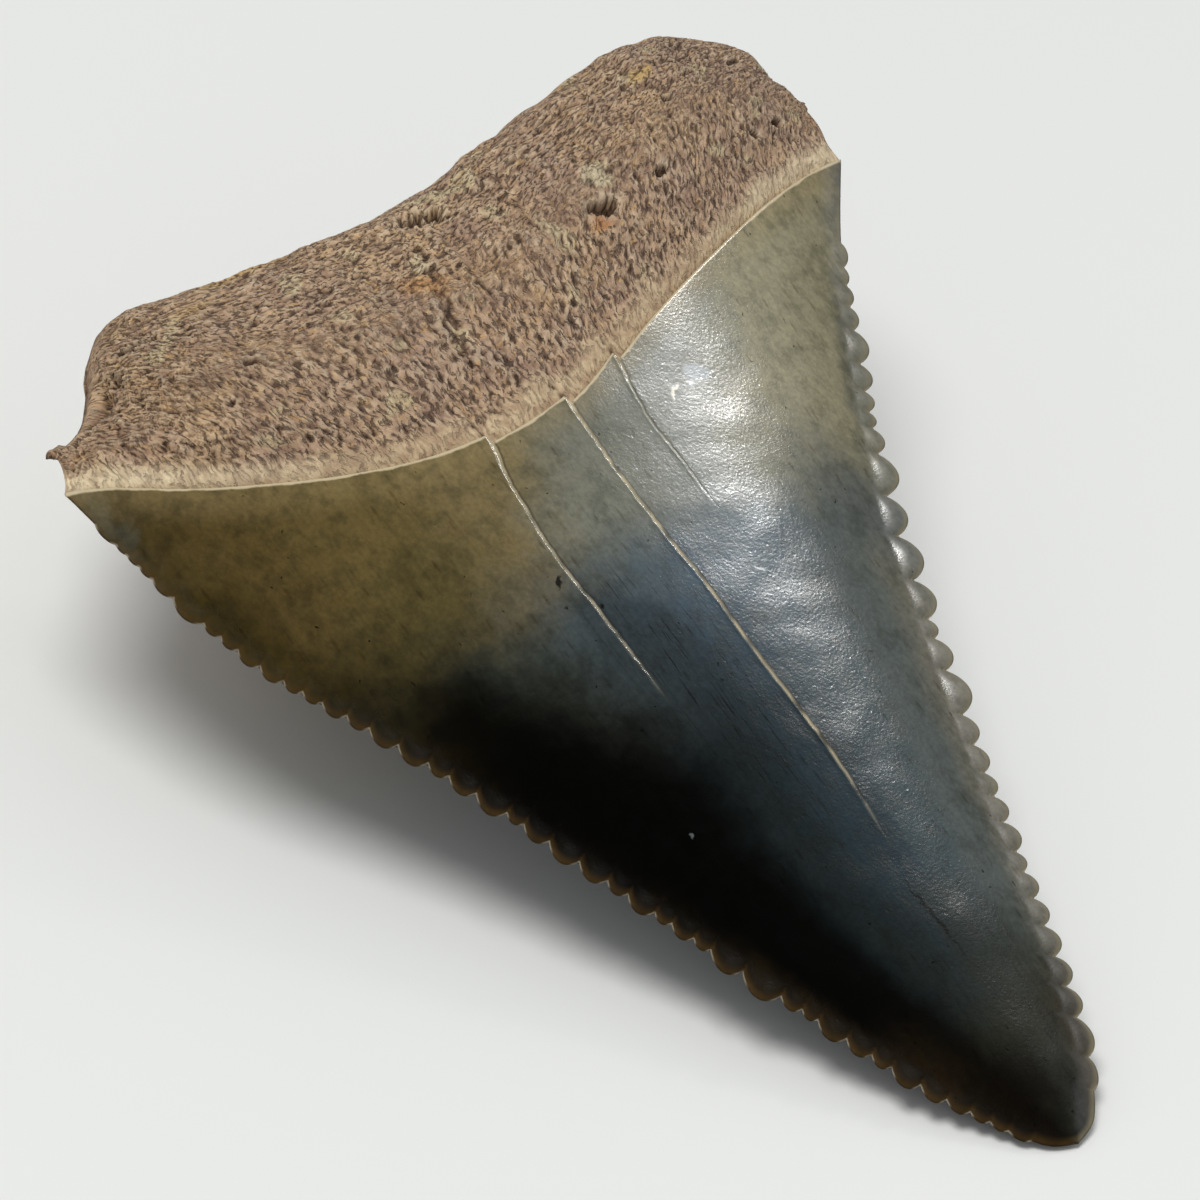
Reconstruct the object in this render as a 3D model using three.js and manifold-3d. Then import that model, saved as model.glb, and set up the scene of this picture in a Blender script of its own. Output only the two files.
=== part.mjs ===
// Fossil shark tooth: a broad triangular crown with serrated edges, grown onto a two-lobed root.
// Millimetres. It lies on the bulge of its root and on its tip, crown face up: +Z up, root towards +Y.
// The forms are written in the tooth's own frame: x across, y from tip to root, z out of the face.
import * as THREE from 'three';
import { mergeVertices } from 'three/addons/utils/BufferGeometryUtils.js';
import Module from 'manifold-3d';

const wasm = await Module();
wasm.setup();

// Cutting edges from the tip to the enamel corners, 36 mm apart
const LEFT_EDGE = [
  [-1.8, 0.1], [-3, 0.7], [-4.3, 2.7], [-5.9, 5.9], [-8.85, 13], [-11.45, 19.6],
  [-12.9, 23], [-14.2, 25.7], [-15.7, 28.5], [-16.75, 31.6], [-17.5, 35], [-18, 38.1],
];
const RIGHT_EDGE = [
  [-1.8, 0.1], [-0.6, 0.65], [0.6, 2.3], [1.7, 4.8], [3.5, 9.5], [5.7, 15.7],
  [7.2, 19.5], [9, 24.1], [10.8, 27.4], [12.8, 30.9], [15.2, 34.7], [17.9, 38.1],
];

// How far the end of the enamel dips towards the tip, at even steps from the left corner to the
// right. The rows towards the tip dip less and less, by this power of their place
const FACE_DIP = [0, 2.6, 4.6, 5.7, 5.6, 4.1, 2.5, 1, 0];
const BACK_DIP = [0, 3.2, 6, 7.9, 8.6, 7.9, 6, 3.2, 0];
const DIP_POWER = 1.6;

// Crown section: rise of the face and of the back at the widest row, and the powers by which both
// thin out towards the tip. The blade share keeps the edges from ending in a feather
const FACE_RISE = 2.4;
const FACE_POWER = 0.7;
const BACK_RISE = 5.6;
const BACK_POWER = 0.85;
const RISE_SKEW = 0.22;
const BLADE_SHARE = 0.12;
const ENAMEL_STEP = 0.22;

// Serrations: rounded beads along both edges, smaller towards the tip and the corners. Each is set
// in from the edge, starts and ends this far from the tip and the corner
const BEAD_PITCH = 1.1;
const BEAD_HALF_LENGTH = 0.68;
const BEAD_REACH = 0.78;
const BEAD_INSET = 0.22;
const BEAD_THICKNESS = 0.36;
const BEADS_START = 2.6;
const BEADS_END = 1.6;
const BEAD_UNEVEN = 0.13;
const BEAD_RHYTHM = 2.4;
const TIP_BEADS = { first: 0.62, growth: 0.06 };
const CORNER_BEADS = { first: 0.5, growth: 0.05 };

// Far margin of the root, from the left lobe over the middle to the right lobe
const ROOT_MARGIN = [
  [-17.2, 40], [-15.1, 41], [-13.3, 43.2], [-11.4, 44.3], [-7, 43.9], [-3, 43.8], [1, 43.9],
  [5, 44.8], [9.4, 45.8], [13, 46.5], [15.7, 46.1], [18.1, 44.3], [18.6, 41],
];
const MARGIN_DEPTH = -1.5;
const END_DEPTH = -0.7;
const MARGIN_ROUNDING = [4, 0.3];

// Root section: the lobes swell on the face, and the back has one large bulge between them. The
// powers move the top of each swelling towards the enamel, and the back fades towards both ends
const LOBE_PLACE = 0.6;
const LOBE_WIDTH = 0.3;
const LOBE_SWELL = 0.8;
const MIDDLE_SWELL = 0.25;
const FACE_LEAN = 0.8;
const BULGE_LEAN = 0.66;
const BULGE = 5.1;
const BULGE_WIDTH = 0.55;
const LOBE_BACK = 2.9;
const BACK_FADE = 1.3;

// Uneven surface of the root: shallow waves in two directions
const WAVE_HEIGHT = 0.16;
const WAVE_LENGTHS = [5.2, 3.1];

// Pits, furrow and chips in the root's face: how far across (-1 to 1) and out from the enamel
// (0 to 1), half sizes across, outwards and deep, and the turn in the face
const HOLLOWS = [
  { across: -0.11, out: 0.5, half: [0.55, 3.4, 0.4], turn: -0.33 },
  { across: -0.03, out: 0.86, half: [1.3, 0.6, 0.7], turn: -0.2 },
  { across: 0.27, out: 0.43, half: [0.8, 0.45, 0.6], turn: -0.3 },
  { across: -0.62, out: 0.83, half: [0.9, 0.3, 0.4], turn: -0.16 },
  { across: -0.4, out: 0.69, half: [0.5, 0.35, 0.4], turn: 0.2 },
  { across: -0.48, out: 0.52, half: [0.5, 0.35, 0.4], turn: -0.2 },
  { across: 0.43, out: 0.38, half: [0.45, 0.35, 0.4], turn: 0.2 },
  { across: 0.43, out: 0.75, half: [0.7, 0.3, 0.4], turn: 0.1 },
  { across: 0.82, out: 0.36, half: [0.45, 0.35, 0.4], turn: 0 },
  { across: 0.9, out: 0.93, half: [1, 0.7, 0.6], turn: 0.7 },
  { across: -0.93, out: 0.86, half: [0.8, 0.6, 0.6], turn: -0.6 },
];

// Open cracks down the face from the end of the enamel: places as [across, along], root end first
const CRACKS = [
  [[-0.21, 1], [-0.2, 0.8]],
  [[-0.02, 1], [0.1, 0.61]],
  [[0.15, 1], [0.22, 0.85]],
];
const CRACK_HALF_WIDTH = 0.17;
const CRACK_HALF_DEPTH = 0.3;
const CRACK_RUN_ON = 1.04;
const CRACK_SIDES = [6, 8];

// How it lies: root end and right side raised, bulge worn flat where it meets the ground
const ROOT_RAISED = THREE.MathUtils.degToRad(15.5);
const RIGHT_RAISED = THREE.MathUtils.degToRad(4.5);
const GROUND_LEVEL = -0.3;
const GROUND_SIZE = [120, 120, 20];

// Mesh density: columns all the way round, rows along the crown and along the root
const COLUMNS = 40;
const CROWN_ROWS = 18;
const ROOT_ROWS = 11;
const BEAD_SIDES = [8, 3];
const PIT_SIDES = [8, 5];

const points2 = (list) => list.map(([x, y]) => new THREE.Vector2(x, y));
const leftEdge = new THREE.SplineCurve(points2(LEFT_EDGE));
const rightEdge = new THREE.SplineCurve(points2(RIGHT_EDGE));
const rootMargin = new THREE.SplineCurve(points2(ROOT_MARGIN));
const faceDip = new THREE.SplineCurve(points2(FACE_DIP.map((dip, step) => [step, dip])));
const backDip = new THREE.SplineCurve(points2(BACK_DIP.map((dip, step) => [step, dip])));
const { lerp } = THREE.MathUtils;

// Height of a bump that is 1 at its middle and fades with distance
function bump(distance, width) {
  return Math.exp(-((distance / width) ** 2));
}

// A point of the crown: along runs from tip (0) to the end of the enamel (1), turn goes round the
// section, from the right edge (0) over the face to the left edge (PI) and back underneath
function crownPoint(along, turn) {
  const across = Math.cos(turn);
  const side = Math.sin(turn);
  const share = (across + 1) / 2;
  const left = leftEdge.getPointAt(along);
  const right = rightEdge.getPointAt(along);
  const onFace = side > 0;
  const dip = (onFace ? faceDip : backDip).getPoint(share).y;
  const faceRise = FACE_RISE * along ** FACE_POWER * (1 + RISE_SKEW * across);
  const backRise = -BACK_RISE * along ** BACK_POWER;
  const section = BLADE_SHARE * Math.abs(side) + (1 - BLADE_SHARE) * side * side;
  return new THREE.Vector3(
    lerp(left.x, right.x, share),
    lerp(left.y, right.y, share) - dip * along ** DIP_POWER,
    (onFace ? faceRise : backRise) * section,
  );
}

// A point of the root: out runs from the end of the enamel (0) to the far margin (1)
function rootPoint(out, turn) {
  const across = Math.cos(turn);
  const side = Math.sin(turn);
  const round = Math.sqrt(Math.abs(side));
  const start = crownPoint(1, turn);
  const margin = rootMargin.getPoint((across + 1) / 2);
  const marginDepth = lerp(END_DEPTH, MARGIN_DEPTH, side * side);
  const fall = (1 - out ** MARGIN_ROUNDING[0]) ** MARGIN_ROUNDING[1];
  const x = lerp(start.x, margin.x, out);
  const y = lerp(start.y, margin.y, out);
  const startDepth = start.z - Math.sign(side) * ENAMEL_STEP * round;
  const face = MIDDLE_SWELL + LOBE_SWELL * bump(Math.abs(across) - LOBE_PLACE, LOBE_WIDTH);
  const back = lerp(LOBE_BACK, BULGE, bump(across, BULGE_WIDTH));
  const swell = side > 0
    ? face * round * Math.sin(Math.PI * out ** FACE_LEAN)
    : -back * Math.abs(side) ** BACK_FADE * Math.sin(Math.PI * out ** BULGE_LEAN);
  const acrossWave = Math.sin((2 * Math.PI * x) / WAVE_LENGTHS[0] + y);
  const outWave = Math.sin((2 * Math.PI * y) / WAVE_LENGTHS[1]);
  const uneven = WAVE_HEIGHT * acrossWave * outWave * round * Math.sin(Math.PI * out);
  return new THREE.Vector3(x, y, lerp(marginDepth, startDepth, fall) + swell + uneven);
}

// Closed body: a tube of rows drawn together at the tip and pinched shut at the root's far margin,
// where the rows crowd to round it
function toothBody() {
  const rows = CROWN_ROWS + ROOT_ROWS;
  const body = new THREE.CylinderGeometry(1, 1, 1, COLUMNS, rows, true);
  const place = body.attributes.position;
  for (let i = 0; i < place.count; i++) {
    const row = Math.floor(i / (COLUMNS + 1));
    const turn = (2 * Math.PI * (i % (COLUMNS + 1))) / COLUMNS;
    const out = Math.sin((Math.PI / 2) * ((row - CROWN_ROWS - 1) / (ROOT_ROWS - 1)));
    const point = row <= CROWN_ROWS ? crownPoint(row / CROWN_ROWS, turn) : rootPoint(out, turn);
    place.setXYZ(i, point.x, point.y, point.z);
  }
  return body;
}

// Vertices and triangles of a closed geometry, with the triangles that have lost a side left out
function solid(geometry) {
  const plain = geometry.clone();
  plain.deleteAttribute('normal');
  plain.deleteAttribute('uv');
  const merged = mergeVertices(plain, 1e-3);
  const corners = [];
  for (let i = 0; i < merged.index.count; i += 3) {
    const [a, b, c] = [0, 1, 2].map((step) => merged.index.getX(i + step));
    if (a !== b && b !== c && c !== a) {
      corners.push(a, b, c);
    }
  }
  const mesh = new wasm.Mesh({
    numProp: 3,
    vertProperties: new Float32Array(merged.attributes.position.array),
    triVerts: new Uint32Array(corners),
  });
  return new wasm.Manifold(mesh);
}

// One bead of an edge: a flattened ball set along the edge, its size varied a little
function bead(edge, inward, along, size) {
  const share = along / edge.getLength();
  const place = edge.getPointAt(share);
  const way = edge.getTangentAt(share);
  const ball = new THREE.SphereGeometry(1, BEAD_SIDES[0], BEAD_SIDES[1]);
  ball.rotateX(Math.PI / 2);
  ball.scale(size * BEAD_HALF_LENGTH, size * BEAD_REACH, size * BEAD_THICKNESS);
  ball.rotateZ(Math.atan2(way.y, way.x));
  ball.translate(place.x + inward * way.y * BEAD_INSET, place.y - inward * way.x * BEAD_INSET, 0);
  return solid(ball);
}

// All beads of one edge, a repeating unevenness in size and full size only away from the ends
function beadsOf(edge, inward) {
  const beads = [];
  const count = Math.floor((edge.getLength() - BEADS_START - BEADS_END) / BEAD_PITCH);
  for (let i = 0; i <= count; i++) {
    const along = BEADS_START + i * BEAD_PITCH;
    const uneven = 1 + BEAD_UNEVEN * Math.sin(i * BEAD_RHYTHM);
    const fromTip = TIP_BEADS.first + TIP_BEADS.growth * i;
    const fromCorner = CORNER_BEADS.first + CORNER_BEADS.growth * (count - i);
    const grown = Math.min(1, fromTip, fromCorner);
    beads.push(bead(edge, inward, along, uneven * grown));
  }
  return beads;
}

// A pit, furrow or chip: a stretched ball sunk in the root's face
function hollow({ across, out, half, turn }) {
  const place = rootPoint(out, Math.acos(across));
  const ball = new THREE.SphereGeometry(1, PIT_SIDES[0], PIT_SIDES[1]);
  ball.scale(...half);
  ball.rotateZ(turn);
  ball.translate(place.x, place.y, place.z);
  return solid(ball);
}

// A crack: a long thin spindle lying in the face
function crack([root, tip]) {
  const [start, end] = [root, tip].map(([across, along]) => crownPoint(along, Math.acos(across)));
  const way = end.clone().sub(start);
  const middle = start.clone().lerp(end, 0.5);
  const spindle = new THREE.SphereGeometry(1, CRACK_SIDES[0], CRACK_SIDES[1]);
  spindle.scale(CRACK_HALF_WIDTH, (CRACK_RUN_ON * way.length()) / 2, CRACK_HALF_DEPTH);
  const turned = new THREE.Quaternion().setFromUnitVectors(new THREE.Vector3(0, 1, 0), way.normalize());
  spindle.applyQuaternion(turned);
  spindle.translate(middle.x, middle.y, middle.z);
  return solid(spindle);
}

// Everything below the ground, seen from the tooth's own frame
function groundBelow(tilt) {
  const ground = new THREE.BoxGeometry(...GROUND_SIZE);
  ground.translate(0, 0, GROUND_LEVEL - GROUND_SIZE[2] / 2);
  ground.applyQuaternion(tilt.clone().invert());
  return solid(ground);
}

const tilt = new THREE.Quaternion().setFromEuler(new THREE.Euler(ROOT_RAISED, -RIGHT_RAISED, 0, 'XYZ'));
let tooth = solid(toothBody());
for (const piece of [...beadsOf(leftEdge, 1), ...beadsOf(rightEdge, -1)]) {
  tooth = tooth.add(piece);
}
for (const cut of [...HOLLOWS.map(hollow), ...CRACKS.map(crack), groundBelow(tilt)]) {
  tooth = tooth.subtract(cut);
}

const { vertProperties, triVerts } = tooth.getMesh();
const surface = new THREE.BufferGeometry();
surface.setAttribute('position', new THREE.BufferAttribute(vertProperties, 3));
surface.setIndex(new THREE.BufferAttribute(triVerts, 1));
const facets = surface.toNonIndexed();
facets.computeVertexNormals();

const fossil = new THREE.MeshStandardMaterial({ color: 0x59646b, roughness: 0.3, metalness: 0 });
const mesh = new THREE.Mesh(facets, fossil);
mesh.name = 'tooth';
mesh.quaternion.copy(tilt);
const reach = new THREE.Box3().setFromObject(mesh, true);
const middle = reach.getCenter(new THREE.Vector3());
mesh.position.set(-middle.x, -middle.y, -reach.min.z);

const part = new THREE.Group();
part.add(mesh);
export default part;
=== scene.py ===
import math

import bmesh
import bpy
import numpy as np
from mathutils import Matrix, Vector


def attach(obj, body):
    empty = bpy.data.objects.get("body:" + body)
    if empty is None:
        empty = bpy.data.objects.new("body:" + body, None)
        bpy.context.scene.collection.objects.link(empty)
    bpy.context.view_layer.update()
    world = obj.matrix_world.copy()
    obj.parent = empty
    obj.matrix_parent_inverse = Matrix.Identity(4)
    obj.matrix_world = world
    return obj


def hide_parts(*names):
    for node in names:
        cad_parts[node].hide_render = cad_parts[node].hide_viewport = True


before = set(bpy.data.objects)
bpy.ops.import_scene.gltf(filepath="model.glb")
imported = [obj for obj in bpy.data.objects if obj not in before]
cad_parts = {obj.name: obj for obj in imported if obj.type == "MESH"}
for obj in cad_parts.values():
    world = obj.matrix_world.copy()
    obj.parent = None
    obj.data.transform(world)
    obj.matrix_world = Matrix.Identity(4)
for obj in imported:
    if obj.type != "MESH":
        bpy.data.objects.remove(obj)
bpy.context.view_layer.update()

# The tooth is shaped in its own frame, in millimetres: x across, y from tip to root, z out of the
# face. Then it is tilted as it lies and set down in the frame of the row, in metres
MM = 0.001
ROOT_RAISED = math.radians(15.5)
RIGHT_RAISED = math.radians(4.5)
TOOTH_ORIGIN = Vector((-0.327, -22.556, 0.3)) * MM
TILT = Matrix.Rotation(ROOT_RAISED, 4, "X") @ Matrix.Rotation(-RIGHT_RAISED, 4, "Y")
# Nothing goes below the floor or past the outer sides, and vertices this near are joined, in metres
FLOOR_CLEAR = 0.00002
SIDE_LIMIT = 0.01826
MERGE = 0.000002

# Cutting edges from the tip to the enamel corners
LEFT_EDGE = [
    (-1.8, 0.1), (-3, 0.7), (-4.3, 2.7), (-5.9, 5.9), (-8.85, 13), (-11.45, 19.6),
    (-12.9, 23), (-14.2, 25.7), (-15.7, 28.5), (-16.75, 31.6), (-17.5, 35), (-18, 38.1),
]
RIGHT_EDGE = [
    (-1.8, 0.1), (-0.6, 0.65), (0.6, 2.3), (1.7, 4.8), (3.5, 9.5), (5.7, 15.7),
    (7.2, 19.5), (9, 24.1), (10.8, 27.4), (12.8, 30.9), (15.2, 34.7), (17.9, 38.1),
]

# How far the end of the enamel dips towards the tip, at even steps from left to right
FACE_DIP = [0, 2.6, 4.6, 5.7, 5.6, 4.1, 2.5, 1, 0]
BACK_DIP = [0, 3.2, 6, 7.9, 8.6, 7.9, 6, 3.2, 0]
DIP_POWER = 1.6

# Crown section
FACE_RISE, FACE_POWER = 2.4, 0.7
BACK_RISE, BACK_POWER = 5.6, 0.85
RISE_SKEW = 0.22
BLADE_SHARE = 0.12
ENAMEL_STEP = 0.22

# Serrations: where the first bead starts, in mm from the tip, and the length of each bead from
# there on. The tip itself and the corners are smooth
LEFT_FIRST = 1.75
LEFT_BEADS = [
    0.85, 0.7, 0.75, 0.9, 1.0, 1.15, 0.8, 1.0, 1.15, 0.65, 0.85, 1.55, 1.3, 0.7, 0.9, 0.7, 1.1, 0.85,
    1.15, 1.25, 1.05, 0.7, 1.25, 1.1, 0.85, 1.2, 1.15, 0.9, 0.95, 0.75, 0.75, 0.95, 0.95, 0.75, 0.75,
    1.4, 1.0, 0.65, 0.6, 0.55, 1.05,
]
RIGHT_FIRST = 2.45
RIGHT_BEADS = [
    1.35, 1.6, 1.25, 1.25, 1.25, 1.15, 1.1, 0.85, 1.25, 1.1, 1.0, 1.2, 1.3, 1.9, 1.4, 0.85, 1.7, 1.95,
    1.8, 1.9, 1.15, 0.75, 0.95, 1.25, 1.55, 1.1, 1.0, 0.85, 1.15,
]
# How far a bead stands out for its length, how much it leans towards the tip, how far in it fades,
# how much it swells and how round its outline is
LEFT_REACH, RIGHT_REACH = 0.46, 0.4
LEFT_LEAN, RIGHT_LEAN = 0.25, 0.0
BEAD_DEPTH = 0.5
BEAD_PUFF = 0.016
BEAD_ROUND = 0.62
# Over these mm the beads grow from the tip and shrink towards the corner
TIP_GROWTH, CORNER_GROWTH = 6, 13

# Far margin of the root, from the left lobe over the middle to the right lobe
ROOT_MARGIN = [
    (-17.2, 40), (-15.1, 41), (-13.3, 43.2), (-11.4, 44.3), (-7, 43.9), (-3, 43.8), (1, 43.9),
    (5, 44.8), (9.4, 45.8), (13, 46.5), (15.7, 46.1), (18.1, 44.3), (18.6, 41),
]
MARGIN_DEPTH = -1.5
END_DEPTH = -0.7
MARGIN_ROUNDING = (4, 0.3)
LOBE_PLACE, LOBE_WIDTH = 0.6, 0.3
LOBE_SWELL, MIDDLE_SWELL = 0.8, 0.25
FACE_LEAN, BULGE_LEAN = 0.8, 0.66
BULGE, BULGE_WIDTH = 5.1, 0.55
LOBE_BACK, BACK_FADE = 2.9, 1.3

# Open cracks in the face: (along, across) from the root end, half width and depth in mm, and how
# pale their filling and the painted highlight beside them are
CRACKS = [
    {"path": [(1, -0.225), (0.9, -0.22), (0.76, -0.212), (0.67, -0.232), (0.6, -0.245)],
     "half": 0.036, "deep": 0.05, "pale": 0.8},
    {"path": [(1, -0.025), (0.83, 0.06), (0.73, 0.1), (0.53, 0.15), (0.44, 0.172), (0.35, 0.157)],
     "half": 0.05, "deep": 0.07, "pale": 1.0},
    {"path": [(1, 0.135), (0.91, 0.172), (0.83, 0.23), (0.74, 0.285)],
     "half": 0.034, "deep": 0.04, "pale": 0.4},
]
PANEL_STEP = 0.34

# Hollows in the root: (across, out), half width, half height and depth in mm, and turn in radians
HOLLOWS = [
    {"place": (-0.11, 0.5), "half": (0.4, 3.4), "deep": 0.14, "turn": -0.33},
    {"place": (-0.03, 0.86), "half": (1.3, 0.55), "deep": 0.55, "turn": -0.2},
    {"place": (0.27, 0.43), "half": (0.75, 0.4), "deep": 0.5, "turn": -0.3},
    {"place": (-0.62, 0.83), "half": (0.85, 0.16), "deep": 0.3, "turn": -0.16},
    {"place": (-0.73, 0.85), "half": (0.3, 0.18), "deep": 0.3, "turn": 0},
    {"place": (-0.4, 0.69), "half": (0.3, 0.16), "deep": 0.16, "turn": 0.2},
    {"place": (-0.48, 0.52), "half": (0.32, 0.16), "deep": 0.16, "turn": -0.2},
    {"place": (-0.6, 0.38), "half": (0.24, 0.16), "deep": 0.14, "turn": 0.4},
    {"place": (0.43, 0.38), "half": (0.32, 0.26), "deep": 0.3, "turn": 0.2},
    {"place": (0.52, 0.84), "half": (0.35, 0.22), "deep": 0.25, "turn": 0},
    {"place": (0.52, 0.61), "half": (0.28, 0.2), "deep": 0.3, "turn": 0},
    {"place": (0.43, 0.75), "half": (0.65, 0.16), "deep": 0.2, "turn": 0.1},
    {"place": (0.76, 0.75), "half": (0.55, 0.12), "deep": 0.18, "turn": 0.3},
    {"place": (0.82, 0.36), "half": (0.3, 0.26), "deep": 0.3, "turn": 0},
    {"place": (0.74, 0.31), "half": (0.26, 0.2), "deep": 0.25, "turn": 0},
    {"place": (0.9, 0.93), "half": (0.9, 0.6), "deep": 0.35, "turn": 0.7},
    {"place": (-0.985, 0.55), "half": (1.0, 0.5), "deep": 0.22, "turn": 0},
    {"place": (-0.8, 0.96), "half": (1.0, 0.4), "deep": 0.22, "turn": 0.6},
    {"place": (-0.9, 0.9), "half": (0.7, 0.3), "deep": 0.3, "turn": 0.5},
]

# Bone relief in mm: how far it lies under the enamel's end, its pores, holes and fissures, and its
# seam at the enamel and at the far margin
ROOT_HALF_WIDTH = 17.5
ROOT_SINK = 0.06
PORE_DEPTH, HOLE_DEPTH, FISSURE_DEPTH = 0.1, 0.12, 0.2
SEAM_DEPTH = (0.05, 0.16)

# How finely each piece is divided, and how finely its curves are measured
CROWN_ROWS, FACE_COLUMNS, BACK_COLUMNS = 576, 134, 36
ROOT_ROWS, ROOT_FACE_COLUMNS, ROOT_BACK_COLUMNS = 156, 470, 140
EDGE_STEPS, ROOT_STEPS, SPREAD_STEPS = 900, 600, 8001
CROWN_CORE, ROOT_CORE = (0, 26, -1.2), (0, 35, -1.8)

# The end of the enamel rolls over: mm towards the root and mm below the surface
ENAMEL_RIM = [(0.05, 0.03), (0.07, 0.11), (0.03, 0.24), (-0.3, 0.5)]
# The root starts under the enamel: mm back from its end and extra mm below the surface
ROOT_TUCK = [(1.6, 0.8), (0.9, 0.3), (0.4, 0.04)]

SEED = 41


def smooth(value):
    """0 below 0, 1 above 1 and an S-curve between"""
    value = np.clip(value, 0, 1)
    return value * value * (3 - 2 * value)


def bump(distance, width):
    """1 at no distance, fading evenly on both sides"""
    return np.exp(-((distance / width) ** 2))


def lerp(start, end, share):
    return start + (end - start) * share


def ripple(places, length, seed, waves=26):
    """Smooth unevenness, mostly between -1 and 1, with bumps of about this length"""
    draw = np.random.default_rng(SEED + seed)
    ways = draw.normal(size=(waves, places.shape[-1]))
    ways /= np.linalg.norm(ways, axis=1)[:, None]
    ways *= 2 * np.pi / (length * draw.uniform(0.7, 1.6, (waves, 1)))
    total = np.zeros(places.shape[:-1])
    for way, shift in zip(ways, draw.uniform(0, 2 * np.pi, waves)):
        total += np.cos(places @ way + shift)
    return total / math.sqrt(waves)


def cells(u, v, seed, tile=89):
    """Cells of a jittered grid. Gives the distance to the nearest cell wall and a random lot from
    0 to 1 for each cell"""
    table = np.random.default_rng(SEED + seed).random((tile, tile, 3))
    cell_u = np.floor(u).astype(int)
    cell_v = np.floor(v).astype(int)
    nearest = np.full(u.shape, 9.0)
    second = np.full(u.shape, 9.0)
    lot = np.zeros(u.shape)
    for step_u in (-1, 0, 1):
        for step_v in (-1, 0, 1):
            cell = table[(cell_u + step_u) % tile, (cell_v + step_v) % tile]
            away = np.hypot(u - cell_u - step_u - cell[..., 0], v - cell_v - step_v - cell[..., 1])
            closer = away < nearest
            second = np.where(closer, nearest, np.minimum(second, away))
            lot = np.where(closer, cell[..., 2], lot)
            nearest = np.minimum(nearest, away)
    return second - nearest, lot


def pores(u, v, seed, kept, wall=0.12, slope=0.4):
    """1 in open pores, 0 in the walls between them and where a cell is filled"""
    gap, lot = cells(u, v, seed)
    return smooth((gap - wall) / slope) * (lot < kept) * (0.5 + 0.5 * lot / kept)


def grain(u, v, seed, octaves=3, tile=211):
    """Rough unevenness between -1 and 1, coarse and fine together"""
    total, much = np.zeros(u.shape), 0
    for octave in range(octaves):
        table = np.random.default_rng(SEED + seed + octave).uniform(-1, 1, (tile, tile))
        at_u, at_v = u * 2**octave, v * 2**octave
        cell_u, cell_v = np.floor(at_u).astype(int), np.floor(at_v).astype(int)
        share_u, share_v = smooth(at_u - cell_u), smooth(at_v - cell_v)
        near = lerp(table[cell_u % tile, cell_v % tile],
                    table[(cell_u + 1) % tile, cell_v % tile], share_u)
        far = lerp(table[cell_u % tile, (cell_v + 1) % tile],
                   table[(cell_u + 1) % tile, (cell_v + 1) % tile], share_u)
        total += lerp(near, far, share_v) * 0.6**octave
        much += 0.6**octave
    return total / much * 1.5


def blurred(height, times=4):
    """The same heights with their fine part smoothed away"""
    for _ in range(times):
        rows = np.pad(height, ((1, 1), (0, 0)), mode="edge")
        height = (rows[:-2] + rows[1:-1] + rows[2:]) / 3
        columns = np.pad(height, ((0, 0), (1, 1)), mode="edge")
        height = (columns[:, :-2] + columns[:, 1:-1] + columns[:, 2:]) / 3
    return height


def spline(points, share):
    """Places on a smooth curve through all the points, share running from 0 to 1"""
    knots = np.array(points, float)
    at = np.clip(share, 0, 1) * (len(knots) - 1)
    first = np.minimum(at.astype(int), len(knots) - 2)
    t = (at - first)[..., None]
    before, start = knots[np.maximum(first - 1, 0)], knots[first]
    end, after = knots[first + 1], knots[np.minimum(first + 2, len(knots) - 1)]
    leave, arrive = (end - before) / 2, (after - start) / 2
    cubic = 2 * start - 2 * end + leave + arrive
    square = -3 * start + 3 * end - 2 * leave - arrive
    return cubic * t**3 + square * t**2 + leave * t + start


class Edge:
    """One cutting edge: places by the share of its length, and its row of beads"""

    def __init__(self, points, outwards, first, beads, reach, lean):
        self.points = points
        self.outwards = outwards
        self.lean = lean
        self.share = np.linspace(0, 1, EDGE_STEPS)
        steps = np.diff(spline(points, self.share), axis=0)
        self.run = np.concatenate([[0], np.cumsum(np.hypot(steps[:, 0], steps[:, 1]))])
        self.length = self.run[-1]
        self.notches = first + np.concatenate([[0], np.cumsum(beads)])
        starts = self.notches[:-1]
        grown = smooth((starts - first + 2) / TIP_GROWTH)
        grown = grown * smooth((self.length - starts) / CORNER_GROWTH)
        self.stands = reach * np.array(beads) * (0.25 + 0.75 * grown)

    def at(self, along):
        """Place on the smooth edge, by the share of its length"""
        return spline(self.points, np.interp(along * self.length, self.run, self.share))

    def way(self, along):
        """Unit direction of the edge, from the tip on"""
        step = 0.004
        ahead = self.at(np.minimum(along + step, 1)) - self.at(np.maximum(along - step, 0))
        return ahead / np.hypot(ahead[..., 0], ahead[..., 1])[..., None]

    def bead(self, reach):
        """At a place along the edge: how far its bead stands out, and how near the place is to a
        notch"""
        which = np.clip(np.searchsorted(self.notches, reach) - 1, 0, len(self.stands) - 1)
        start, end = self.notches[which], self.notches[which + 1]
        share = np.clip((end - reach) / (end - start), 0, 1)
        form = np.clip(np.sin(np.pi * share), 0, 1) ** BEAD_ROUND
        beaded = (reach > self.notches[0]) & (reach < self.notches[-1])
        return self.stands[which] * form * beaded, (1 - form) * beaded


left_edge = Edge(LEFT_EDGE, -1, LEFT_FIRST, LEFT_BEADS, LEFT_REACH, LEFT_LEAN)
right_edge = Edge(RIGHT_EDGE, 1, RIGHT_FIRST, RIGHT_BEADS, RIGHT_REACH, RIGHT_LEAN)


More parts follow.
